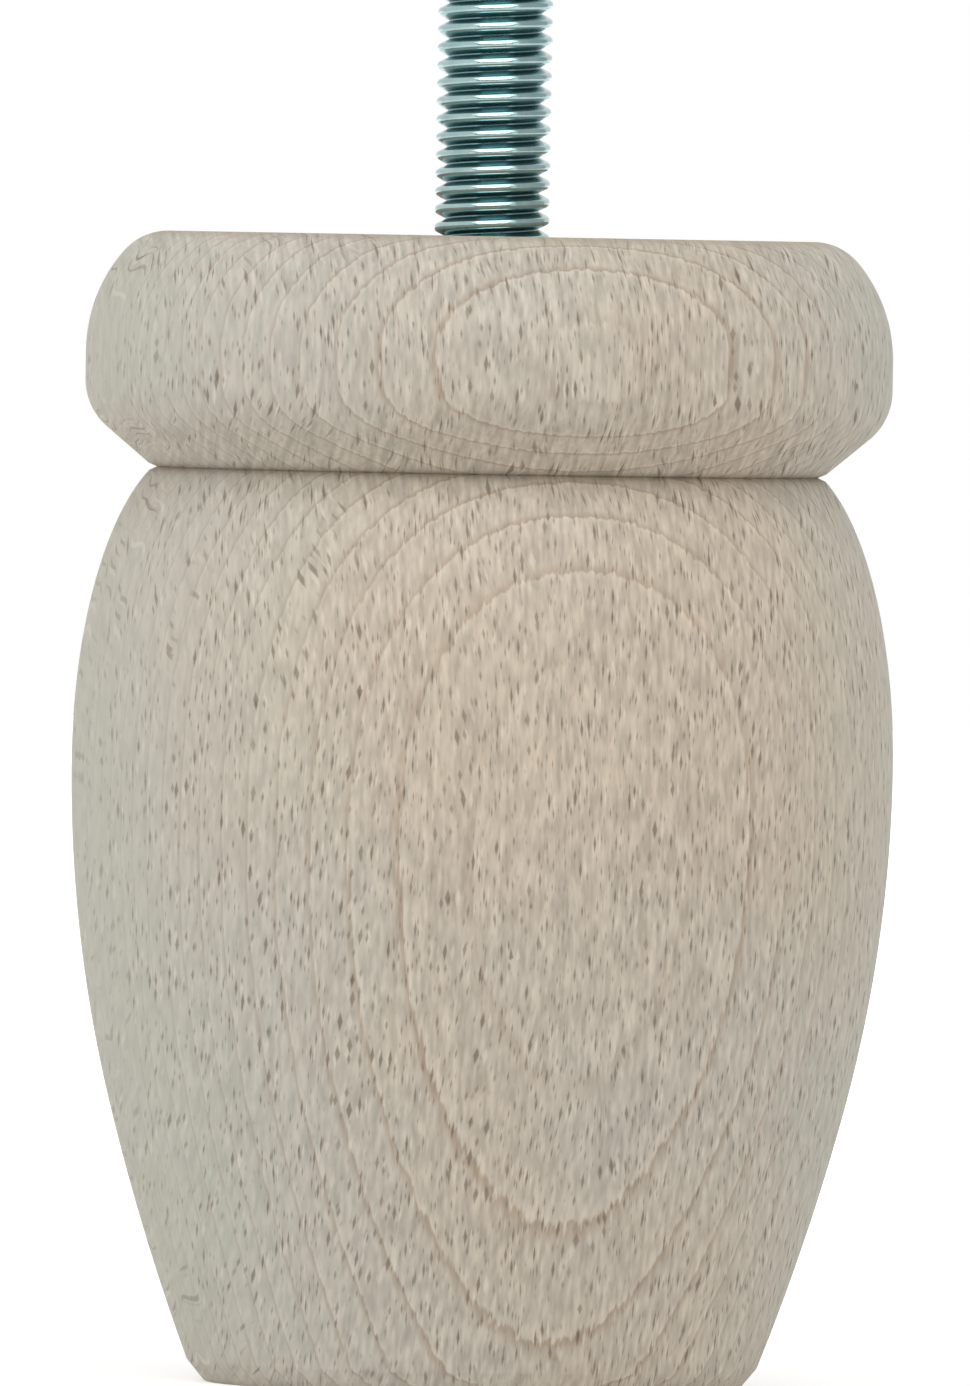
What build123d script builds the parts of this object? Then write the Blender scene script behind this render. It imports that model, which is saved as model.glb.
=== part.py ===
"""Turned wooden bed foot with a steel hanger bolt in its top.

The foot is one turning about the Z axis: a barrel belly, a V groove and a rounded collar.
It stands on the plane z = 0. All sizes are in millimetres.
"""

import os
from math import acos, asin, cos, degrees, radians, sin, tan

from build123d import *

# Turned foot: the height overall and the diameters that the other radii are measured from
foot_height = 80.0
groove_diameter = 46.6
base_diameter = 37.2

# Belly: its swell beyond the groove, the depth of its widest girth below the groove and the
# half width of the oval above that girth. Below the girth it falls in a large arc, and a
# flatter arc leads on to the bevel round the base
belly_swell = 5.3
belly_drop = 20.3
belly_oval = 8.16
belly_round = 96.0
belly_fall = 24.0
base_bevel_width = 1.25
base_bevel_rise = 1.5

# Collar: from the groove up, a straight bevel, a round under-edge, a narrow land and a crown
# of two arcs, whose flatter one gives way to the tighter one at the crown turn
collar_overhang = 4.8
bevel_angle = 50.0
under_round = 4.4
collar_land = 2.0
crown_width = 5.65
crown_rise = 8.34
crown_turn = 40.0

# Hanger bolt: machine thread above the seat, plain shank and wood screw below it
stud_diameter = 8.0
stud_length = 25.0
stud_chamfer = 1.0
shank_length = 10.0
shoulder_width = 0.7
screw_diameter = 5.8
screw_length = 25.0
point_length = 6.0
point_diameter = 1.2

# Hole for the bolt: a shank bore with a bevelled mouth, then a pilot bore with a drill point
bolt_clearance = 0.05
point_clearance = 1.0
drill_angle = 118.0
mouth_bevel = 0.8

# Radii of the foot's outline
groove_radius = groove_diameter / 2
base_radius = base_diameter / 2
belly_radius = groove_radius + belly_swell
collar_radius = groove_radius + collar_overhang
seat_radius = collar_radius - crown_width

# Collar: the under-edge turns from upright to the bevel's slope
bevel_slope = radians(bevel_angle)
under_run = under_round * (1 - cos(bevel_slope))
under_rise = under_round * sin(bevel_slope)
bevel_rise = (collar_overhang - under_run) / tan(bevel_slope)

# Crown: the flatter arc's radius is the one that lets both arcs meet smoothly
turn = radians(crown_turn)
side_round = (crown_rise * cos(turn) - crown_width * (1 - sin(turn))) / (cos(turn) + sin(turn) - 1)

# Levels of the outline's corners, from the seat face down
crown_level = foot_height - crown_rise
land_level = crown_level - collar_land
bevel_level = land_level - under_rise
groove_level = bevel_level - bevel_rise
widest_level = groove_level - belly_drop

# Upper belly: part of an oval, from the widest girth up to the groove
oval_angle = acos(1 - belly_swell / belly_oval)
oval_rise = belly_drop / sin(oval_angle)

# Lower belly: how far the large arc leans in at its lower end
lean = asin(belly_fall / belly_round)

# Radii and levels of the bolt and its hole
stud_radius = stud_diameter / 2
screw_radius = screw_diameter / 2
shank_radius = screw_radius + shoulder_width
point_radius = point_diameter / 2
stud_end = foot_height + stud_length
shoulder_level = foot_height - shank_length
point_level = shoulder_level - screw_length
hole_radius = shank_radius + bolt_clearance
pilot_radius = screw_radius + bolt_clearance
pilot_level = point_level - point_clearance
drill_level = pilot_level - pilot_radius / tan(radians(drill_angle / 2))

# Corners of the foot's outline, as radius and height
base_rim = (base_radius, 0)
base_bevel_top = (base_radius + base_bevel_width, base_bevel_rise)
belly_end = (belly_radius - belly_round * (1 - cos(lean)), widest_level - belly_fall)
belly_widest = (belly_radius, widest_level)
belly_center = (belly_radius - belly_oval, widest_level)
groove_bottom = (groove_radius, groove_level)
bevel_end = (collar_radius - under_run, bevel_level)
land_bottom = (collar_radius, land_level)
land_top = (collar_radius, crown_level)
crown_corner = (
    collar_radius - side_round * (1 - cos(turn)),
    crown_level + side_round * sin(turn),
)
seat_rim = (seat_radius, foot_height)

os.makedirs("parts", exist_ok=True)

# The wooden foot: half its outline turned about the axis, then drilled from the top
with BuildPart() as turned_foot:
    with BuildSketch(Plane.XZ):
        with BuildLine():
            Polyline((0, foot_height), (0, 0), base_rim, base_bevel_top)
            TangentArc(belly_end, base_bevel_top, tangent=(-sin(lean), -cos(lean)))
            TangentArc(belly_widest, belly_end, tangent=(0, -1))
            EllipticalCenterArc(belly_center, belly_oval, oval_rise, arc_size=degrees(oval_angle))
            Line(groove_bottom, bevel_end)
            TangentArc(land_bottom, bevel_end, tangent=(0, -1))
            Line(land_bottom, land_top)
            TangentArc(land_top, crown_corner, tangent=(0, 1))
            TangentArc(seat_rim, crown_corner, tangent=(1, 0))
            Line(seat_rim, (0, foot_height))
        make_face()
    revolve(axis=Axis.Z)
    with BuildSketch(Plane.XZ):
        with BuildLine():
            Polyline(
                (0, foot_height),
                (0, drill_level),
                (pilot_radius, pilot_level),
                (pilot_radius, shoulder_level),
                (hole_radius, shoulder_level),
                (hole_radius, foot_height - mouth_bevel),
                (hole_radius + mouth_bevel, foot_height),
                close=True,
            )
        make_face()
    revolve(axis=Axis.Z, mode=Mode.SUBTRACT)
turned_foot.part.label = "turned_foot"
export_step(turned_foot.part, "parts/turned_foot.step")

# The hanger bolt: the shoulder under its shank sits on the step in the hole
with BuildPart() as hanger_bolt:
    with BuildSketch(Plane.XZ):
        with BuildLine():
            Polyline(
                (0, point_level),
                (point_radius, point_level),
                (screw_radius, point_level + point_length),
                (screw_radius, shoulder_level),
                (shank_radius, shoulder_level),
                (shank_radius, foot_height),
                (stud_radius, foot_height),
                (stud_radius, stud_end - stud_chamfer),
                (stud_radius - stud_chamfer, stud_end),
                (0, stud_end),
                close=True,
            )
        make_face()
    revolve(axis=Axis.Z)
hanger_bolt.part.label = "hanger_bolt"
export_step(hanger_bolt.part, "parts/hanger_bolt.step")
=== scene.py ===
"""Turned beech bed foot with a zinc-plated hanger bolt, dressed for a plain studio view.

The classes hold their sizes in millimetres and their colours as sRGB hex values. The meshes are
in metres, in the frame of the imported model: +Z up along the turning axis, z = 0 on the floor.
"""

import logging
from dataclasses import dataclass, field
from enum import Enum
from math import acos, asin, atan2, cos, pi, radians, sin, tan
from typing import Any

import bpy
import numpy as np
from mathutils import Matrix, Vector


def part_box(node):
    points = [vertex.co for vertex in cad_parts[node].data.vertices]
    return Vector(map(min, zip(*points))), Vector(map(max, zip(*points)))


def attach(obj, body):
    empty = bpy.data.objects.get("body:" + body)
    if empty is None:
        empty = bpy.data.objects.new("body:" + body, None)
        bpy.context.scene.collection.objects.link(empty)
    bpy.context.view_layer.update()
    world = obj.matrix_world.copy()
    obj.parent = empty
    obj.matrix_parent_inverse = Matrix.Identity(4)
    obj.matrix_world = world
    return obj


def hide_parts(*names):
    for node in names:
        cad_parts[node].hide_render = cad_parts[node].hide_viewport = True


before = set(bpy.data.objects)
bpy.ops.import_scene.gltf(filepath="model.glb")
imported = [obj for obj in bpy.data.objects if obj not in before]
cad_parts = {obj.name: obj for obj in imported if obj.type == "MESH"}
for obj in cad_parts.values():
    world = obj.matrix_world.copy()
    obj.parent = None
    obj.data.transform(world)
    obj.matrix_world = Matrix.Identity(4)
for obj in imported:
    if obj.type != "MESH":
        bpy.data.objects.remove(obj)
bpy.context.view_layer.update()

METRES = 0.001  # one millimetre, in metres
WELD = 1e-5  # points of a mesh that lie nearer than this become one, in millimetres
WHITE = (1, 1, 1, 1)
log = logging.getLogger("bed_foot")

Array = np.ndarray
Colour = tuple[float, float, float, float]
Range = tuple[float, float]
Size = tuple[float, float, float]
Socket = bpy.types.NodeSocket
Tree = bpy.types.NodeTree


def linear(hex_colour: str) -> Colour:
    """Turn an sRGB colour into the linear colour that a shader takes.

    Args:
        hex_colour: The colour as "#rrggbb".

    Returns:
        Linear red, green and blue, and an alpha of 1.
    """
    encoded = np.array(list(bytes.fromhex(hex_colour[1:]))) / 255
    decoded = np.where(encoded <= 0.04045, encoded / 12.92, ((encoded + 0.055) / 1.055) ** 2.4)
    return (*decoded.tolist(), 1.0)


def add_node(tree: Tree, kind: str, inputs: dict[Any, Any], **settings: Any) -> bpy.types.Node:
    """Add one shader node with its settings and links.

    Args:
        tree: The node tree that the node joins.
        kind: The node's type, without the ShaderNode in front.
        inputs: What each input takes, by its name or number: a value, or a socket to link from.
        settings: The node's own properties.

    Returns:
        The new node.
    """
    node = tree.nodes.new("ShaderNode" + kind)
    for name, value in settings.items():
        setattr(node, name, value)
    for key, value in inputs.items():
        if isinstance(value, Socket):
            tree.links.new(value, node.inputs[key])
        else:
            node.inputs[key].default_value = value
    return node


def compute(tree: Tree, operation: str, *values: Any) -> Socket:
    """Add a Math node.

    Args:
        tree: The node tree that it joins.
        operation: What it works out.
        values: The numbers or sockets that it takes, in their order.

    Returns:
        The socket with the result.
    """
    return add_node(tree, "Math", dict(enumerate(values)), operation=operation).outputs[0]


def remap(
    tree: Tree,
    value: Socket,
    source: Range = (0, 1),
    target: tuple[float, Any] = (0, 1),
    smooth: bool = False,
) -> Socket:
    """Carry a value over from one range to another, and stop it at both ends.

    Args:
        tree: The node tree that the node joins.
        value: The value.
        source: Start and end of the range that it comes from.
        target: What the start and the end become, the latter a number or a socket.
        smooth: Whether the change eases in and out.

    Returns:
        The socket with the new value.
    """
    inputs = dict(zip(("From Min", "From Max", "To Min", "To Max"), (*source, *target)))
    easing = "SMOOTHSTEP" if smooth else "LINEAR"
    return add_node(tree, "MapRange", {"Value": value, **inputs}, interpolation_type=easing).outputs[0]


def blend(tree: Tree, cover: Socket, under: Any, over: Colour) -> Socket:
    """Lay one colour over another.

    Args:
        tree: The node tree that the node joins.
        cover: How much of the upper colour covers, from 0 to 1.
        under: The lower colour, or a socket with it.
        over: The upper colour.

    Returns:
        The socket with the mixed colour.
    """
    return add_node(tree, "Mix", {0: cover, 6: under, 7: over}, data_type="RGBA").outputs[2]


def noise(tree: Tree, place: Socket, detail: float, cell: float = 1.0) -> Socket:
    """Add a soft random pattern.

    Args:
        tree: The node tree that the node joins.
        place: Where to look it up.
        detail: How many finer layers it has.
        cell: Size of its coarsest cells, in the units of the places.

    Returns:
        The socket with the pattern, about 0.5 on average.
    """
    inputs = {"Vector": place, "Scale": 1 / cell, "Detail": detail}
    return add_node(tree, "TexNoise", inputs).outputs["Fac"]


def new_material(name: str) -> bpy.types.Material:
    """Make an empty node material.

    Args:
        name: Its name.

    Returns:
        The material, without any nodes.
    """
    material = bpy.data.materials.new(name)
    material.use_nodes = True
    material.node_tree.nodes.clear()
    return material


def tangent_arc(start: Array, heading: Array, end: Array, count: int) -> Array:
    """Points of the circular arc that leaves one point along a heading and ends at another.

    The circle's centre lies square to the heading, as far from the start as from the end. The arc
    turns by twice the angle between the heading and the chord.

    Args:
        start: First point, as radius and height.
        heading: Unit vector along the arc at its start.
        end: Last point.
        count: How many points to give, both ends included.

    Returns:
        The points, one per row.
    """
    side = np.array([-heading[1], heading[0]])
    chord = end - start
    bend = chord @ chord / (2 * (chord @ side))
    turn = np.linspace(0, 2 * atan2(chord @ side, chord @ heading), count)[:, None]
    return start + bend * (np.sin(turn) * heading + (1 - np.cos(turn)) * side)


def eased_corner(before: Array, corner: Array, after: Array, radius: float, count: int) -> Array:
    """Points of the small arc that eases the corner between two straight runs.

    The arc touches each run at the radius divided by the tangent of half the corner's angle.

    Args:
        before: A point on the run that leads to the corner.
        corner: The sharp corner.
        after: A point on the run that leaves it.
        radius: Radius of the arc.
        count: How many points to give.

    Returns:
        The points, one per row.
    """
    back = (before - corner) / np.linalg.norm(before - corner)
    ahead = (after - corner) / np.linalg.norm(after - corner)
    reach = radius / tan(acos(back @ ahead) / 2)
    return tangent_arc(corner + reach * back, -back, corner + reach * ahead, count)


class ThreadForm(Enum):
    """The form of a thread's ridge, seen along one pitch."""

    ROLLED = "steep flanks between a round crest and a narrow root"
    WOOD = "a thin straight-sided ridge standing on a plain core"

    def section(self) -> tuple[Array, Array]:
        """Rows of one pitch from root to root, with their rise from the core.

        The rolled form falls from its crest along a hyperbola that soon runs straight down a
        steep flank to the narrow root. The wood form is a ridge with straight sides.

        Returns:
            The rows' places as shares of the pitch, and the rise there from 0 at the core to 1.
        """
        if self is ThreadForm.ROLLED:
            # Shares of the pitch from the crest's middle: where the flank and the root start, and
            # how softly the crest turns into the flank
            crest, rounding, root = 0.2, 0.08, 0.47
            side = np.array([0.04, 0.08, 0.12, 0.16, crest, 0.24, 0.3, 0.4, root, 0.5])
            off_crest = np.concatenate([side[::-1], [0], side[:-1]])
            past = np.minimum(off_crest, root) - crest
            drop = past + np.hypot(past, rounding)
            rise = 1 - (drop - drop.min()) / np.ptp(drop)
        else:
            # Shares of the pitch: half the ridge's width at its foot and at its tip
            foot, tip = 0.19, 0.025
            side = np.array([tip, foot / 2, foot, 0.3, 0.4, 0.5])
            off_crest = np.concatenate([side[::-1], side[:-1]])
            rise = np.clip((foot - off_crest) / (foot - tip), 0, 1)
        before_crest = np.arange(len(off_crest)) < len(off_crest) / 2
        return np.where(before_crest, 0.5 - off_crest, 0.5 + off_crest), rise


@dataclass(frozen=True)
class Thread:
    """A right-hand thread whose core and depth change along its length.

    Each of core, depth and cap is given at the levels, with straight lines between. The depth
    ends at nothing, or the cap cuts it off, so that the thread starts and ends on a plain ring.
    """

    form: ThreadForm
    pitch: float
    levels: tuple[float, ...]
    core: tuple[float, ...]
    depth: tuple[float, ...]
    cap: tuple[float, ...]

    def surface(self, angles: Array, gap: float, least: float) -> tuple[Array, Array, int]:
        """Radius and height of the thread on a grid that follows its helix.

        A row keeps its place on the ridge and climbs one pitch in a turn: height = pitch times
        (turn + share of pitch + angle / full circle). Radius = core + depth times rise, under the
        cap. Rows past either end fold onto the end ring.

        Args:
            angles: The columns' angles round the axis.
            gap: Clearance to add to the radius.
            least: Radius below which the surface doesn't go.

        Returns:
            The radii and the heights, each rows by columns, and the rows in a pitch.
        """
        share, rise = self.form.section()
        turns = np.arange(-1, int((self.levels[-1] - self.levels[0]) / self.pitch) + 2)
        places = (turns[:, None] + share).reshape(-1, 1)
        height = self.levels[0] + self.pitch * (places + angles / (2 * pi))
        height = np.clip(height, self.levels[0], self.levels[-1])
        core = np.interp(height, self.levels, self.core)
        depth = np.interp(height, self.levels, self.depth)
        cap = np.interp(height, self.levels, self.cap)
        radius = np.minimum(core + depth * np.tile(rise, len(turns))[:, None], cap) + gap
        return np.maximum(radius, least), height, len(share)


@dataclass
class TurnedShell:
    """A closed surface about the Z axis, laid down patch by patch and then welded into one mesh."""

    columns: int
    points: list[Array] = field(default_factory=list)
    quads: list[Array] = field(default_factory=list)

    @property
    def angles(self) -> Array:
        """Angles of the columns round the axis."""
        return 2 * pi * np.arange(self.columns) / self.columns

    def add_patch(self, radius: Array, height: Array, seam_shift: int = 0) -> None:
        """Lay a grid round the axis: x = radius cos angle, y = radius sin angle, z = height.

        Each cell is a quad between two rows and two columns. The last column joins the first,
        so many rows further on as the seam shift says.

        Args:
            radius: Radii, rows by columns.
            height: Heights, rows by columns.
            seam_shift: Rows that the surface gains in a turn.
        """
        rows = radius.shape[0]
        first = sum(len(patch) for patch in self.points)
        grid = np.stack([radius * np.cos(self.angles), radius * np.sin(self.angles), height], axis=-1)
        row, column = np.meshgrid(np.arange(rows - 1), np.arange(self.columns), indexing="ij")
        lift = np.where(column == self.columns - 1, seam_shift, 0)
        near = row * self.columns + column
        far = (row + lift) * self.columns + (column + 1) % self.columns
        cells = np.stack([near, far, far + self.columns, near + self.columns], axis=-1)
        whole = (row + lift >= 0) & (row + lift < rows - 1)
        self.points.append(grid.reshape(-1, 3))
        self.quads.append(cells[whole] + first)

    def turn(self, outline: Array) -> None:
        """Turn an outline about the axis.

        Args:
            outline: Points as radius and height, in the order that keeps the solid on the left.
        """
        spread = np.ones(self.columns)
        self.add_patch(outline[:, :1] * spread, outline[:, 1:] * spread)

    def wind(self, thread: Thread, gap: float = 0.0, least: float = 0.0, inward: bool = False) -> None:
        """Wind a thread about the axis, as a screw or, facing inward, as the thread of a hole.

        Args:
            thread: The thread to wind.
            gap: Clearance to add to its radius.
            least: Radius below which the surface doesn't go.
            inward: Whether the surface faces the axis, with its rows running down.
        """
        radius, height, shift = thread.surface(self.angles, gap, least)
        if inward:
            radius, height, shift = radius[::-1], height[::-1], -shift
        self.add_patch(radius, height, shift)

    def piece(self, name: str, crease: float) -> bpy.types.Object:
        """Weld the patches into one mesh and make it an object.

        Points that coincide become one. A quad that loses a corner in this becomes a triangle, and
        one that loses more is dropped, which closes poles and the folded ends of threads.

        Args:
            name: Name of the piece.
            crease: Angle between faces, in degrees, above which an edge stays sharp.

        Returns:
            The new object, at the origin with its place in its mesh.
        """
        points = np.concatenate(self.points)
        places = np.round(points / WELD).astype(np.int64)
        _, keep, merged = np.unique(places, axis=0, return_index=True, return_inverse=True)
        cells = merged.reshape(-1)[np.concatenate(self.quads)]
        doubled = cells == np.roll(cells, -1, axis=1)
        quads = cells[doubled.sum(axis=1) == 0]
        thin = doubled.sum(axis=1) == 1
        triangles = cells[thin][~doubled[thin]].reshape(-1, 3)
        mesh = bpy.data.meshes.new(name)
        mesh.from_pydata(points[keep] * METRES, [], quads.tolist() + triangles.tolist())
        mesh.shade_smooth()
        mesh.set_sharp_from_angle(angle=radians(crease))
        obj = bpy.data.objects.new(name, mesh)
        bpy.context.scene.collection.objects.link(obj)
        return obj


def dress(piece: bpy.types.Object, material: bpy.types.Material, node: str) -> None:
    """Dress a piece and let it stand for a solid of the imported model.

    Args:
        piece: The finished piece.
        material: Its material.
        node: Name of the solid that it replaces.
    """
    piece.data.materials.append(material)
    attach(piece, "root")
    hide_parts(node)
    log.info("%s: %d faces, %s", piece.name, len(piece.data.polygons), material.name)


class LogAxis(Enum):
    """The axes of the log that a surface can be cut square to, in the log's frame."""

    ROUND_THE_RING = (0, 1, 0)
    ALONG_THE_GRAIN = (0, 0, 1)


@dataclass(frozen=True)
class Coat:
    """A colour laid over the wood, and how much of it covers where its mask is full."""

    colour: str
    share: float


@dataclass(frozen=True)
class RawBeech:
    """Beech, turned on a lathe, sanded and left raw.

    It gives the eye a pale, dry, slightly pink grey. Growth rings are cut by the turning into
    nested ovals, each a little darker towards its end, with a thin brown line and a pale one at the
    border. The wood rays show as slim dark dashes along the grain, smoother than the wood round them.
    The sides that are cut on the quarter get a painted sheen: the cooler grey that grazing reflections
    give them, which at their very edges veils the figure. The end grain is darker, and shade is
    painted along the bottom of the groove.
    """

    warm: str = "#c6b8a6"
    cool: str = "#bfbbb0"
    late_line: Coat = Coat("#9a7c62", 0.48)
    early_line: Coat = Coat("#e2dacb", 0.24)
    # Painted sheen: the cooler grey that grazing reflections give the quarter-cut sides
    quarter_painted_sheen: Coat = Coat("#c4c4b8", 0.5)
    ray_edge: Coat = Coat("#e6dfd1", 0.45)
    fine_ray: Coat = Coat("#6f5c4a", 0.55)
    ray: Coat = Coat("#6f5c4a", 0.7)
    # Painted sheen that veils the figure at the very edges of the quarter-cut sides
    edge_painted_sheen: Coat = Coat("#c4c4b8", 0.35)
    # Painted shade: a dark coat along the bottom of the groove, where shade falls
    painted_groove_shade: Coat = Coat("#6e5c4a", 0.15)
    end_grain: Coat = Coat("#a8977f", 0.5)
    roughness: float = 0.6
    ray_roughness: float = 0.48
    specular_level: float = 0.12
    fibre_height: float = 0.03
    # How far above and below the groove the painted shade reaches
    groove_shade_reach: float = 0.7

    # Cosine of the angle between a surface's normal and the log's axis at which the painted sheen and the
    # end grain's tint start
    quarter_sheen_facing: float = 0.3
    edge_sheen_facing: float = 0.85
    end_facing: float = 0.88

    # How dark and how light the streaks make the wood, and the span of the noise that they follow
    fibre_streak: Range = (0.92, 1.08)
    fleck_streak: Range = (0.82, 1.16)
    age_streak: Range = (1.02, 0.98)
    streak_span: Range = (0.3, 0.7)
    tint_span: Range = (0.35, 0.65)

    # The board that the foot was turned from: its pith lies far behind, its bark in front
    bark_turn: float = 14.7
    grain_lean: float = 3.24
    grain_bow: float = 0.0015
    lean_level: float = 40.75
    pith_distance: float = 120.0

    # Growth rings: the lines at their borders, how they stray and where they fade
    ring_spacing: float = 1.46
    ring_place: float = 24.76
    late_width: float = 0.26
    early_width: float = 0.22
    ring_edge: float = 0.05
    ring_wander: float = 0.25
    ring_fray: float = 0.2
    ring_fade_span: Range = (0.0, 0.45)
    faint_ring: Range = (1.4, 1.6)
    faint_share: float = 0.3

    # Cells of the figures: round the ring, along the grain and away from the pith. The fibres and
    # flecks of real beech are finer: they are drawn coarser here, so that they show
    ray_cell: Size = (0.52, 3.0, 1.0)
    fine_ray_cell: Size = (0.36, 1.8, 1.0)
    fleck_cell: Size = (0.4, 1.8, 8.0)
    fibre_cell: Size = (0.35, 7.0, 0.35)
    wander_cell: Size = (22.0, 44.0, 22.0)
    sway_cell: Size = (6.0, 40.0, 6.0)
    mottle_cell: Size = (44.0, 44.0, 44.0)
    mottle_seed: Size = (34.4, 20.3, 29.1)
    ray_sway: float = 4.0
    ray_reach: float = 0.3
    ray_gap: float = -0.75

    def log_frame(self) -> Matrix:
        """Work out the turn from the foot to its log.

        Returns:
            The turn, to X towards the bark, Y round the ring and Z along the grain.
        """
        bark = Matrix.Rotation(radians(90 - self.bark_turn), 3, "Z")
        lean = Matrix.Rotation(radians(-self.grain_lean), 3, "Y")
        return lean @ bark

    def spread(self, tree: Tree, place: Socket, cell: Size, shift: Size = (0, 0, 0)) -> Socket:
        """Count places in cells, so that a pattern of unit size gets the size of the cell.

        Args:
            tree: The material's nodes.
            place: Places in the log, in millimetres.
            cell: Size of a cell along each axis.
            shift: How many cells to move the pattern by, along each axis.

        Returns:
            The places, in cells.
        """
        scale = tuple(1 / size for size in cell)
        inputs = {0: place, 1: scale, 2: shift}
        return add_node(tree, "VectorMath", inputs, operation="MULTIPLY_ADD").outputs[0]

    def log_places(self, tree: Tree, coords: Socket) -> Socket:
        """Places in the log, in millimetres: way round the ring, way along the grain, radius.

        The log is bowed: towards both ends its pith draws away by the bow times the square of the
        way along the grain. The way round the ring is measured on the ring at the front.

        Args:
            tree: The material's nodes.
            coords: Object coordinates.

        Returns:
            The places.
        """
        turn = self.log_frame()
        centre = turn @ Vector((0, 0, self.lean_level))
        inputs = {
            "Vector": coords,
            "Scale": (1 / METRES,) * 3,
            "Rotation": turn.to_euler("XYZ"),
            "Location": (self.pith_distance - centre.x, -centre.y, -centre.z),
        }
        place = add_node(tree, "Mapping", inputs).outputs[0]
        axes = add_node(tree, "SeparateXYZ", {0: place}).outputs
        square = compute(tree, "MULTIPLY", axes["Z"], axes["Z"])
        bowed = compute(tree, "MULTIPLY_ADD", square, self.grain_bow, axes["X"])
        level = add_node(tree, "CombineXYZ", {0: bowed, 1: axes["Y"]}).outputs[0]
        radius = add_node(tree, "VectorMath", {0: level}, operation="LENGTH").outputs["Value"]
        angle = compute(tree, "ARCTAN2", axes["Y"], bowed)
        way = compute(tree, "MULTIPLY", angle, self.pith_distance + self.ring_place)
        return add_node(tree, "CombineXYZ", {0: way, 1: axes["Z"], 2: radius}).outputs[0]

    def ring_lines(
        self, tree: Tree, place: Socket, fibre: Socket, mottle: Socket
    ) -> tuple[Socket, Socket, Socket]:
        """Growth rings, which wander slowly, fray along the fibres and fade here and there.

        Each ring ends in a dark line of late wood, and the next starts with a pale line. Their masks
        rise and fall with the distance to the border between the two, and overlap softly there. The
        lines of the last rings under the bark are faint.

        Args:
            tree: The material's nodes.
            place: Places in the log.
            fibre: The pattern of the fibres.
            mottle: The broad pattern that fades the rings.

        Returns:
            Masks of the late lines and of the early lines, and the ring's age from 0 to 1.
        """
        wander = noise(tree, self.spread(tree, place, self.wander_cell), detail=2.0)
        radius = add_node(tree, "SeparateXYZ", {0: place}).outputs["Z"]
        for pattern, reach in ((wander, 2 * self.ring_wander), (fibre, 2 * self.ring_fray)):
            radius = compute(tree, "MULTIPLY_ADD", pattern, reach, radius)
        first = self.pith_distance + self.ring_place + self.ring_wander + self.ring_fray
        past = compute(tree, "SUBTRACT", radius, first)
        rings = compute(tree, "DIVIDE", past, self.ring_spacing)
        age = compute(tree, "WRAP", rings, 1.0, 0.0)
        half = self.ring_spacing / 2
        past = compute(tree, "WRAP", past, half, -half)
        clear = remap(tree, mottle, self.ring_fade_span)
        faint = remap(tree, rings, self.faint_ring, (1.0, self.faint_share))
        clear = compute(tree, "MULTIPLY", clear, faint)
        masks = []
        for side, width in ((-1, self.late_width), (1, self.early_width)):
            mask = clear
            for slope in ((side * width, 0.0), (-side * self.ring_edge, side * self.ring_edge)):
                mask = compute(tree, "MULTIPLY", mask, remap(tree, past, slope, smooth=True))
            masks.append(mask)
        return masks[0], masks[1], age

    def swayed(self, tree: Tree, place: Socket) -> Socket:
        """Let the rays sway: their way round the ring changes slowly with the place in the log.

        Args:
            tree: The material's nodes.
            place: Places in the log.

        Returns:
            The changed places.
        """
        sway = noise(tree, self.spread(tree, place, self.sway_cell), detail=1.0)
        inputs = {0: sway, 1: (self.ray_sway, 0, 0), 2: place}
        return add_node(tree, "VectorMath", inputs, operation="MULTIPLY_ADD").outputs[0]

    def ray_mask(self, tree: Tree, place: Socket, cell: Size, gap: float = 0.0) -> Socket:
        """Wood rays: a slim pointed spindle in each flat cell, from short and faint to long and dark.

        A spindle is where the distance to the cell's middle round the ring plus that along the
        grain, in cells, is less than the reach. It runs on along the radius, as a ray does.

        Args:
            tree: The material's nodes.
            place: Places in the log.
            cell: Size of the cells.
            gap: How many cells to move the pattern round the ring.

        Returns:
            Mask of the spindles.
        """
        inputs = {"Vector": self.spread(tree, place, cell, (gap, 0, 0)), "Scale": 1.0}
        settings = {"voronoi_dimensions": "2D", "distance": "MANHATTAN"}
        cells = add_node(tree, "TexVoronoi", inputs, **settings).outputs
        strength = add_node(tree, "SeparateXYZ", {0: cells["Color"]}).outputs["X"]
        reach = remap(tree, strength, target=(self.ray_reach / 2, self.ray_reach))
        depth = compute(tree, "SUBTRACT", reach, cells["Distance"])
        body = remap(tree, depth, (0.0, self.ray_reach / 2), smooth=True)
        return compute(tree, "MULTIPLY", body, strength)

    def groove_shade_mask(self, tree: Tree, coords: Socket, level: float) -> Socket:
        """Mask of the painted shade along the bottom of the groove.

        Args:
            tree: The material's nodes.
            coords: Object coordinates.
            level: Height of the groove.

        Returns:
            The mask, full at the groove and gone at the reach above and below it.
        """
        height = add_node(tree, "SeparateXYZ", {0: coords}).outputs["Z"]
        off = compute(tree, "ABSOLUTE", compute(tree, "SUBTRACT", height, level * METRES))
        return remap(tree, off, (self.groove_shade_reach * METRES, 0.0), smooth=True)

    def cut_mask(self, tree: Tree, normal: Socket, axis: LogAxis, least: float) -> Socket:
        """Mask of the surfaces that are cut square to one axis of the log.

        Args:
            tree: The material's nodes.
            normal: The surface's normal in the foot's frame.
            axis: The axis.
            least: Cosine of the angle to the axis at which the mask starts.

        Returns:
            The mask, full where the normal runs along the axis either way.
        """
        along = self.log_frame().inverted() @ Vector(axis.value)
        inputs = {0: normal, 1: along}
        facing = add_node(tree, "VectorMath", inputs, operation="DOT_PRODUCT").outputs["Value"]
        return remap(tree, compute(tree, "ABSOLUTE", facing), (least, 1.0), smooth=True)

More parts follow.
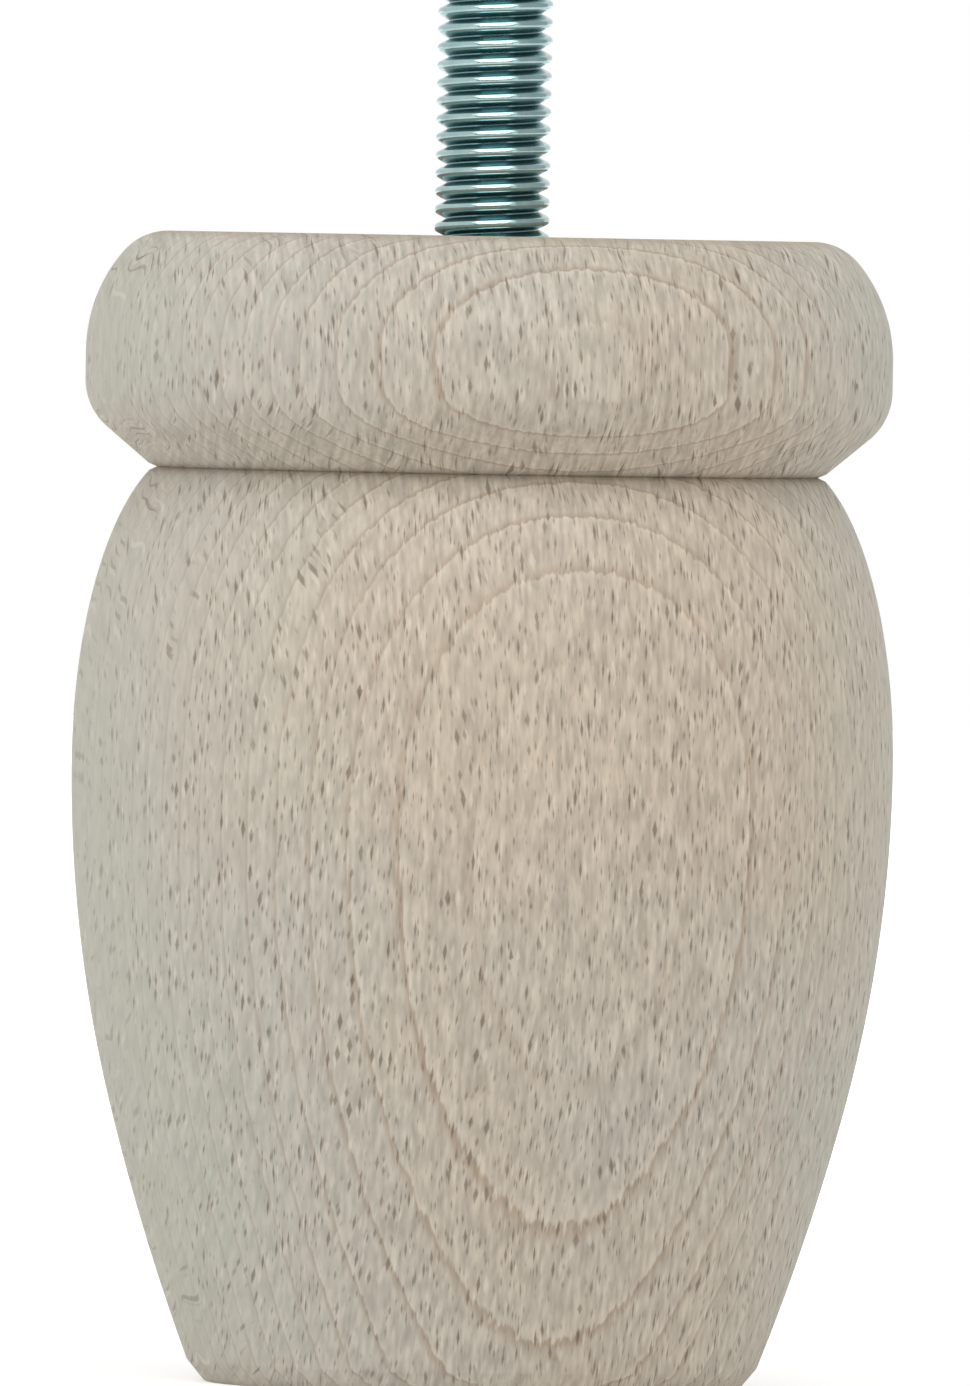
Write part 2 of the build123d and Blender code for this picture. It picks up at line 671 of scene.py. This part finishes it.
    def material(self, groove_level: float) -> bpy.types.Material:
        """Build the material, as a solid figure that runs right through the wood.

        Args:
            groove_level: Height of the groove, along which shade is painted.

        Returns:
            The finished material.
        """
        material = new_material("raw_turned_beech")
        tree = material.node_tree
        coords = add_node(tree, "TexCoord", {}).outputs
        place, normal = self.log_places(tree, coords["Object"]), coords["Normal"]
        fibre = noise(tree, self.spread(tree, place, self.fibre_cell), detail=3.0)
        mottle = noise(tree, self.spread(tree, place, self.mottle_cell, self.mottle_seed), detail=3.0)
        flecks = noise(tree, self.spread(tree, place, self.fleck_cell), detail=1.0)
        late, early, age = self.ring_lines(tree, place, fibre, mottle)
        sway = self.swayed(tree, place)
        rays = self.ray_mask(tree, sway, self.ray_cell)

        # Colour: two tints of the wood, streaked by its fibres, with each figure laid over them
        colour = blend(tree, remap(tree, mottle, self.tint_span), linear(self.warm), linear(self.cool))
        for pattern, span, shades in (
            (fibre, self.streak_span, self.fibre_streak),
            (flecks, self.streak_span, self.fleck_streak),
            (age, (0.0, 1.0), self.age_streak),
        ):
            inputs = {0: colour, "Scale": remap(tree, pattern, span, shades)}
            colour = add_node(tree, "VectorMath", inputs, operation="SCALE").outputs[0]
        for mask, coat in (
            (late, self.late_line),
            (early, self.early_line),
            # painted sheen of grazing reflections on the quarter-cut sides
            (self.cut_mask(tree, normal, LogAxis.ROUND_THE_RING, self.quarter_sheen_facing), self.quarter_painted_sheen),
            (self.ray_mask(tree, sway, self.ray_cell, self.ray_gap), self.ray_edge),
            (self.ray_mask(tree, sway, self.fine_ray_cell), self.fine_ray),
            (rays, self.ray),
            # painted sheen over the figure at the very edges of the sides
            (self.cut_mask(tree, normal, LogAxis.ROUND_THE_RING, self.edge_sheen_facing), self.edge_painted_sheen),
            # painted shade along the bottom of the groove
            (self.groove_shade_mask(tree, coords["Object"], groove_level), self.painted_groove_shade),
            (self.cut_mask(tree, normal, LogAxis.ALONG_THE_GRAIN, self.end_facing), self.end_grain),
        ):
            cover = compute(tree, "MULTIPLY", mask, coat.share)
            colour = blend(tree, cover, colour, linear(coat.colour))

        # Surface: fibres stand up a little, and rays are smoother than the wood round them
        inputs = {"Height": fibre, "Distance": self.fibre_height * METRES}
        bump = add_node(tree, "Bump", inputs).outputs[0]
        inputs = {
            "Base Color": colour,
            "Roughness": remap(tree, rays, target=(self.roughness, self.ray_roughness)),
            "Normal": bump,
            "Specular IOR Level": self.specular_level,
        }
        shader = add_node(tree, "BsdfPrincipled", inputs).outputs[0]
        add_node(tree, "OutputMaterial", {"Surface": shader})
        return material


@dataclass(frozen=True)
class ZincPlatedSteel:
    """Steel with rolled threads, zinc-plated and blue-passivated.

    It gives the eye a cool blue-green metal with bright crests, a little cloudy where the plating
    is thicker, and dull down in the roots of the threads, which are also painted dark as painted
    shade in the valleys. The end that was sheared off is a matt grey.
    """

    zinc: str = "#96b3b5"
    pale_zinc: str = "#a9c2c3"
    # Painted shade: the roots of the threads, where the valleys are shaded, are painted darker
    root: str = "#708e91"
    sheared: str = "#5c6f71"
    roughness: float = 0.12
    cloudy_roughness: float = 0.16
    root_roughness: float = 0.2
    sheared_roughness: float = 0.55

    # Radii between which the plating turns from dull and painted with shade to bright, and cosines
    # of the slope between which a face starts to count as the sheared end
    root_radius: float = 3.3
    bright_radius: float = 3.9
    end_facing: Range = (0.96, 0.99)

    # Clouds and grit of the plating. Real grit is finer: it is drawn coarser, so that it shows
    cloud_size: float = 1.6
    cloud_span: Range = (0.35, 0.7)
    grit_size: float = 0.12
    grit_height: float = 0.004

    def material(self) -> bpy.types.Material:
        """Build the material.

        Returns:
            The finished material.
        """
        material = new_material("zinc_plated_rolled_steel")
        tree = material.node_tree
        coords = add_node(tree, "TexCoord", {}).outputs
        inputs = {0: coords["Object"], "Scale": 1 / METRES}
        place = add_node(tree, "VectorMath", inputs, operation="SCALE").outputs[0]
        cloud = remap(tree, noise(tree, place, detail=4.0, cell=self.cloud_size), self.cloud_span)
        grit = noise(tree, place, detail=2.0, cell=self.grit_size)
        level = add_node(tree, "VectorMath", {0: place, 1: (1, 1, 0)}, operation="MULTIPLY").outputs[0]
        radius = add_node(tree, "VectorMath", {0: level}, operation="LENGTH").outputs["Value"]
        dull_shaded_root = remap(tree, radius, (self.bright_radius, self.root_radius), smooth=True)
        facing_up = add_node(tree, "SeparateXYZ", {0: coords["Normal"]}).outputs["Z"]
        sheared_end = remap(tree, facing_up, self.end_facing)

        colour = blend(tree, cloud, linear(self.zinc), linear(self.pale_zinc))
        gloss = remap(tree, cloud, target=(self.roughness, self.cloudy_roughness))
        # The roots get a duller finish and a painted shade; the sheared end its matt grey
        for mask, paint, dullness in (
            (dull_shaded_root, self.root, self.root_roughness),
            (sheared_end, self.sheared, self.sheared_roughness),
        ):
            colour = blend(tree, mask, colour, linear(paint))
            gloss = add_node(tree, "Mix", {0: mask, 2: gloss, 3: dullness}).outputs[0]
        inputs = {"Height": grit, "Distance": self.grit_height * METRES}
        bump = add_node(tree, "Bump", inputs).outputs[0]
        inputs = {"Base Color": colour, "Metallic": 1.0, "Roughness": gloss, "Normal": bump}
        shader = add_node(tree, "BsdfPrincipled", inputs).outputs[0]
        add_node(tree, "OutputMaterial", {"Surface": shader})
        return material


@dataclass
class HangerBolt:
    """Steel bolt with a machine thread above the seat, a plain shank and a wood screw below it."""

    stud_radius: float
    stud_end: float
    point_level: float
    seat_level: float
    stud_chamfer: float = 1.0
    stud_pitch: float = 1.25
    stud_root_radius: float = 3.233
    thread_start: float = 0.7
    shank_radius: float = 3.6
    shank_length: float = 10.0
    screw_radius: float = 2.9
    screw_pitch: float = 3.6
    screw_run_out: float = 2.0
    screw_relief: float = 0.2
    cone_length: float = 6.0
    cone_end_radius: float = 0.6
    columns: int = 144
    crease: float = 35.0
    finish: ZincPlatedSteel = ZincPlatedSteel()

    @property
    def shoulder_level(self) -> float:
        """Height of the shoulder under the shank."""
        return self.seat_level - self.shank_length

    def machine_thread(self) -> Thread:
        """The metric thread, which runs out into the shank just inside the hole's mouth.

        Returns:
            The thread.
        """
        depth = self.stud_radius - self.stud_root_radius
        start = self.seat_level - self.thread_start
        chamfer_level = self.stud_end - self.stud_chamfer
        end_radius = self.stud_radius - self.stud_chamfer
        return Thread(
            form=ThreadForm.ROLLED,
            pitch=self.stud_pitch,
            levels=(start, self.seat_level, chamfer_level, self.stud_end),
            core=(self.shank_radius,) + (self.stud_root_radius,) * 3,
            depth=(0, depth, depth, depth),
            cap=(self.stud_radius,) * 3 + (end_radius,),
        )

    def wood_thread(self) -> Thread:
        """The coarse wood thread, which grows along the cone point and fades below the shank.

        Returns:
            The thread.
        """
        depth = self.stud_radius - self.screw_radius
        top = self.shoulder_level - self.screw_relief
        return Thread(
            form=ThreadForm.WOOD,
            pitch=self.screw_pitch,
            levels=(self.point_level, self.point_level + self.cone_length, top - self.screw_run_out, top),
            core=(self.cone_end_radius,) + (self.screw_radius,) * 3,
            depth=(0, depth, depth, 0),
            cap=(self.stud_radius,) * 4,
        )

    def build(self) -> bpy.types.Object:
        """Build the bolt from its point up and dress it.

        Returns:
            The finished piece.
        """
        wood, machine = self.wood_thread(), self.machine_thread()
        shell = TurnedShell(self.columns)
        shell.turn(np.array([(0, self.point_level), (self.cone_end_radius, self.point_level)]))
        shell.wind(wood)
        shell.turn(
            np.array(
                [
                    (self.screw_radius, wood.levels[-1]),
                    (self.screw_radius, self.shoulder_level),
                    (self.shank_radius, self.shoulder_level),
                    (self.shank_radius, machine.levels[0]),
                ]
            )
        )
        shell.wind(machine)
        shell.turn(np.array([(machine.cap[-1], self.stud_end), (0, self.stud_end)]))
        piece = shell.piece("threaded_hanger_bolt", self.crease)
        dress(piece, self.finish.material(), "hanger_bolt")
        return piece


@dataclass
class TurnedFoot:
    """The wooden foot: one turning with a barrel belly, a V groove and a rounded collar."""

    height: float
    belly_radius: float
    bolt: HangerBolt

    # Belly, from the base up
    base_radius: float = 18.6
    base_bevel_width: float = 1.25
    base_bevel_rise: float = 1.5
    belly_round: float = 96.0
    belly_fall: float = 24.0
    belly_swell: float = 5.3
    belly_drop: float = 20.3
    belly_oval: float = 8.16

    # Quirk that the tool's point cut into the bottom of the groove
    quirk_width: float = 0.5
    quirk_depth: float = 0.3

    # Collar, from the groove up
    collar_overhang: float = 4.8
    bevel_angle: float = 50.0
    under_round: float = 4.4
    collar_land: float = 2.0
    crown_width: float = 5.65
    crown_rise: float = 8.34
    crown_turn: float = 40.0

    # Hole for the bolt, and the radii to which sanding eased the sharp corners
    bolt_clearance: float = 0.05
    point_clearance: float = 1.0
    drill_angle: float = 118.0
    mouth_bevel: float = 0.8
    base_ease: float = 0.4
    bevel_ease: float = 1.0

    columns: int = 256
    crease: float = 30.0
    finish: RawBeech = RawBeech()

    @property
    def groove_level(self) -> float:
        """Height of the groove, worked out from the seat down.

        Returns:
            The height.
        """
        slope = radians(self.bevel_angle)
        under_run = self.under_round * (1 - cos(slope))
        under_rise = self.under_round * sin(slope)
        bevel_rise = (self.collar_overhang - under_run) / tan(slope)
        return self.height - self.crown_rise - self.collar_land - under_rise - bevel_rise

    def outside(self) -> Array:
        """Outline of the turning, from the centre of the base up to the seat's rim.

        A bevel round the base, a flatter arc, a large arc up to the widest girth, part of an oval
        up to the groove with its quirk, a straight bevel, a round under-edge, a narrow land and a
        crown of two arcs that meet smoothly.

        Returns:
            The points, as radius and height.
        """
        groove_radius = self.belly_radius - self.belly_swell
        collar_radius = groove_radius + self.collar_overhang
        slope, turn = radians(self.bevel_angle), radians(self.crown_turn)
        under_run = self.under_round * (1 - cos(slope))
        crown_level = self.height - self.crown_rise
        land_level = crown_level - self.collar_land
        bevel_level = land_level - self.under_round * sin(slope)
        groove_level = self.groove_level
        widest_level = groove_level - self.belly_drop
        lean = asin(self.belly_fall / self.belly_round)
        rise_part = self.crown_rise * cos(turn) - self.crown_width * (1 - sin(turn))
        side_round = rise_part / (cos(turn) + sin(turn) - 1)
        oval_rise = self.belly_drop / sin(acos(1 - self.belly_swell / self.belly_oval))
        lip = self.quirk_width / 2
        lip_angle = asin((self.belly_drop - lip) / oval_rise)

        centre = np.array([0.0, 0.0])
        base_rim = np.array([self.base_radius, 0.0])
        bevel_top = base_rim + (self.base_bevel_width, self.base_bevel_rise)
        belly_end = np.array(
            [self.belly_radius - self.belly_round * (1 - cos(lean)), widest_level - self.belly_fall]
        )
        widest = np.array([self.belly_radius, widest_level])
        quirk_bottom = np.array([groove_radius - self.quirk_depth, groove_level])
        upper_lip = np.array([groove_radius + lip * tan(slope), groove_level + lip])
        bevel_end = np.array([collar_radius - under_run, bevel_level])
        land_bottom = np.array([collar_radius, land_level])
        land_top = np.array([collar_radius, crown_level])
        crown_corner = land_top + (-side_round * (1 - cos(turn)), side_round * sin(turn))
        seat_rim = np.array([collar_radius - self.crown_width, self.height])

        down = np.array([0.0, -1.0])
        lower_belly = tangent_arc(belly_end, np.array([-sin(lean), -cos(lean)]), bevel_top, count=32)[::-1]
        main_belly = tangent_arc(widest, down, belly_end, count=40)[::-1]
        oval = np.linspace(0, lip_angle, num=50)[:, None]
        upper_belly = widest - (self.belly_oval, 0) + np.hstack(
            [self.belly_oval * np.cos(oval), oval_rise * np.sin(oval)]
        )
        side_heading = np.array([-sin(turn), cos(turn)])
        return np.concatenate(
            [
                np.linspace(centre, base_rim, num=6)[:-1],
                eased_corner(centre, base_rim, bevel_top, self.base_ease, count=6),
                eased_corner(base_rim, bevel_top, lower_belly[1], self.bevel_ease, count=4),
                lower_belly[1:],
                main_belly[1:],
                upper_belly[1:],
                [quirk_bottom],
                np.linspace(upper_lip, bevel_end, num=10),
                tangent_arc(land_bottom, down, bevel_end, count=18)[::-1][1:],
                np.linspace(land_bottom, land_top, num=6)[1:],
                tangent_arc(land_top, -down, crown_corner, count=26)[1:],
                tangent_arc(crown_corner, side_heading, seat_rim, count=16)[1:],
            ]
        )

    def build(self) -> bpy.types.Object:
        """Build the foot from its base round to the bottom of its hole, and dress it.

        The pilot hole is cut by the bolt's own thread, a clearance larger.

        Returns:
            The finished piece.
        """
        bolt, gap = self.bolt, self.bolt_clearance
        thread = bolt.wood_thread()
        shank_bore = bolt.shank_radius + gap
        pilot = bolt.screw_radius + gap
        pilot_end = bolt.point_level - self.point_clearance
        drill_tip = pilot_end - pilot / tan(radians(self.drill_angle / 2))
        outside = self.outside()
        mouth = np.array([shank_bore + self.mouth_bevel, self.height])
        shell = TurnedShell(self.columns)
        shell.turn(
            np.concatenate(
                [
                    outside,
                    np.linspace(outside[-1], mouth, num=12)[1:],
                    [
                        (shank_bore, self.height - self.mouth_bevel),
                        (shank_bore, bolt.shoulder_level),
                        (pilot, bolt.shoulder_level),
                        (pilot, thread.levels[-1]),
                    ],
                ]
            )
        )
        shell.wind(thread, gap, pilot, inward=True)
        shell.turn(np.array([(pilot, thread.levels[0]), (pilot, pilot_end), (0, drill_tip)]))
        piece = shell.piece("turned_beech_foot", self.crease)
        dress(piece, self.finish.material(self.groove_level), "turned_foot")
        return piece


@dataclass(frozen=True)
class Softbox:
    """A soft rectangular lamp that faces the middle of the foot.

    Its level is the brightness of its face, where 1 is white. A lamp for gloss alone shows in
    reflections and lights nothing else.
    """

    name: str
    place: Size
    width: float
    height: float
    level: float
    gloss_only: bool = False

    def build(self, middle: Vector) -> None:
        """Hang the lamp and turn it.

        Args:
            middle: The point that it faces, in millimetres.
        """
        data = bpy.data.lights.new(self.name, "AREA")
        data.shape = "RECTANGLE"
        data.size = self.width * METRES
        data.size_y = self.height * METRES
        data.energy = self.level * pi * data.size * data.size_y
        lamp = bpy.data.objects.new(self.name, data)
        place = Vector(self.place)
        turn = (middle - place).to_track_quat("-Z", "Y").to_matrix().to_4x4()
        lamp.matrix_world = Matrix.Translation(place * METRES) @ turn
        lamp.visible_camera = False
        lamp.visible_diffuse = not self.gloss_only
        bpy.context.scene.collection.objects.link(lamp)


@dataclass(frozen=True)
class Card:
    """An upright card that shows only in reflections.

    A black one darkens the metal's front, and pale ones hide the lamps at the sides from it. The
    card stands on the floor at its place, square to the line from there to the axis. Its level is
    the brightness of its face, from 0 for black to 1 for white.
    """

    name: str
    place: tuple[float, float]
    width: float
    height: float
    level: float

    def build(self) -> None:
        """Stand the card on the floor."""
        foot = Vector((*self.place, 0.0)) * METRES
        half = foot.normalized().cross(Vector((0, 0, 1))) * self.width * METRES / 2
        up = Vector((0, 0, self.height * METRES))
        mesh = bpy.data.meshes.new(self.name)
        corners = [foot - half, foot + half, foot + half + up, foot - half + up]
        mesh.from_pydata(corners, [], [(0, 1, 2, 3)])
        material = new_material(self.name)
        tree = material.node_tree
        face = add_node(tree, "Emission", {"Color": WHITE, "Strength": self.level}).outputs[0]
        add_node(tree, "OutputMaterial", {"Surface": face})
        mesh.materials.append(material)
        card = bpy.data.objects.new(self.name, mesh)
        for kind in ("camera", "diffuse", "transmission", "volume_scatter", "shadow"):
            setattr(card, "visible_" + kind, False)
        bpy.context.scene.collection.objects.link(card)


@dataclass
class Studio:
    """Pale floor, white surroundings, soft lamps, cards for the metal and the camera."""

    eye: Size = (0.1, -2200.0, 80.0)
    aim: Size = (0.1, 0.0, 48.2)
    roll: float = 1.02
    frame_height: float = 96.5
    sensor: float = 36.0
    sight: float = 100000.0
    floor_size: float = 6000.0
    floor_colour: str = "#e6e5e3"
    floor_lift: float = 0.52
    floor_glow: float = 0.13
    shadow_reach: float = 150.0
    far_floor: float = 800.0
    sky_level: float = 0.5
    lamps: tuple[Softbox, ...] = (
        Softbox("key_softbox", place=(0, -820, 1260), width=2400, height=700, level=2.45),
        Softbox("left_softbox", place=(-1100, -500, 80), width=700, height=700, level=1.7),
        Softbox("right_softbox", place=(1100, -500, 80), width=700, height=700, level=0.9),
        Softbox("front_softbox", place=(0, -700, 440), width=950, height=590, level=3.6, gloss_only=True),
    )
    cards: tuple[Card, ...] = (
        Card("black_card", place=(0, -600), width=860, height=165, level=0.0),
        Card("left_card", place=(-520, 0), width=900, height=1400, level=1.0),
        Card("right_card", place=(520, 0), width=900, height=1400, level=0.6),
    )

    def build_camera(self) -> None:
        """Set the camera level with the seat, far off, with a long lens that fills the frame."""
        eye, aim = Vector(self.eye) * METRES, Vector(self.aim) * METRES
        data = bpy.data.cameras.new("camera")
        data.lens = self.sensor * (aim - eye).length / (self.frame_height * METRES)
        data.sensor_width = self.sensor
        data.clip_end = self.sight * METRES
        camera = bpy.data.objects.new("camera", data)
        upright = (aim - eye).to_track_quat("-Z", "Y").to_matrix().to_4x4()
        tilt = Matrix.Rotation(radians(self.roll), 4, "Z")
        camera.matrix_world = Matrix.Translation(eye) @ upright @ tilt
        bpy.context.scene.collection.objects.link(camera)
        bpy.context.scene.camera = camera

    def seen_directly(self, tree: Tree) -> Socket:
        """Give 1 for rays of the camera, of reflections and of refractions, and 0 for the rest.

        Args:
            tree: The node tree that asks.

        Returns:
            The socket with the answer.
        """
        path = add_node(tree, "LightPath", {}).outputs
        seen = path["Is Camera Ray"]
        for other in ("Is Glossy Ray", "Is Transmission Ray"):
            seen = compute(tree, "MAXIMUM", seen, path[other])
        return seen

    def build_floor(self) -> None:
        """Lay the floor: a matt light table, lifted to white where it is seen, with the shadow kept."""
        half = self.floor_size * METRES / 2
        mesh = bpy.data.meshes.new("floor")
        corners = [(-half, -half, 0), (half, -half, 0), (half, half, 0), (-half, half, 0)]
        mesh.from_pydata(corners, [], [(0, 1, 2, 3)])
        floor = bpy.data.objects.new("floor", mesh)
        bpy.context.scene.collection.objects.link(floor)

        material = new_material("matt_light_table")
        tree = material.node_tree
        coords = add_node(tree, "TexCoord", {}).outputs["Object"]
        away = add_node(tree, "VectorMath", {0: coords}, operation="LENGTH").outputs["Value"]
        reach = (self.shadow_reach * METRES, self.far_floor * METRES)
        lift = remap(tree, away, reach, (self.floor_lift, 1.0))
        glow = remap(tree, self.seen_directly(tree), target=(self.floor_glow, lift))
        inputs = {
            "Base Color": linear(self.floor_colour),
            "Roughness": 1.0,
            "Specular IOR Level": 0.0,
            "Emission Color": WHITE,
            "Emission Strength": glow,
        }
        shader = add_node(tree, "BsdfPrincipled", inputs).outputs[0]
        add_node(tree, "OutputMaterial", {"Surface": shader})
        mesh.materials.append(material)

    def build_world(self) -> None:
        """Surround the object with white that lights it at a lower level than it shows."""
        world = bpy.data.worlds.new("studio")
        world.use_nodes = True
        tree = world.node_tree
        tree.nodes.clear()
        level = remap(tree, self.seen_directly(tree), target=(self.sky_level, 1.0))
        sky = add_node(tree, "Background", {"Color": WHITE, "Strength": level}).outputs[0]
        add_node(tree, "OutputWorld", {"Surface": sky})
        bpy.context.scene.world = world

    def build(self) -> None:
        """Build the whole studio."""
        self.build_camera()
        self.build_floor()
        self.build_world()
        for lamp in self.lamps:
            lamp.build(Vector(self.aim))
        for card in self.cards:
            card.build()
        scene = bpy.context.scene
        scene.view_settings.view_transform = "Standard"
        log.info("studio: %d lamps, camera with a %.0f mm lens", len(self.lamps), scene.camera.data.lens)


def main() -> None:
    """Build the foot, the bolt and the studio, and note the sizes of the two models."""
    logging.basicConfig(level=logging.INFO, format="%(name)s: %(message)s")
    foot_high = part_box("turned_foot")[1]
    bolt_low, bolt_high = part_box("hanger_bolt")
    bolt = HangerBolt(
        stud_radius=bolt_high.x / METRES,
        stud_end=bolt_high.z / METRES,
        point_level=bolt_low.z / METRES,
        seat_level=foot_high.z / METRES,
    )
    foot = TurnedFoot(height=foot_high.z / METRES, belly_radius=foot_high.x / METRES, bolt=bolt)
    foot.build()
    bolt.build()
    Studio().build()


if __name__ == "__main__":
    main()
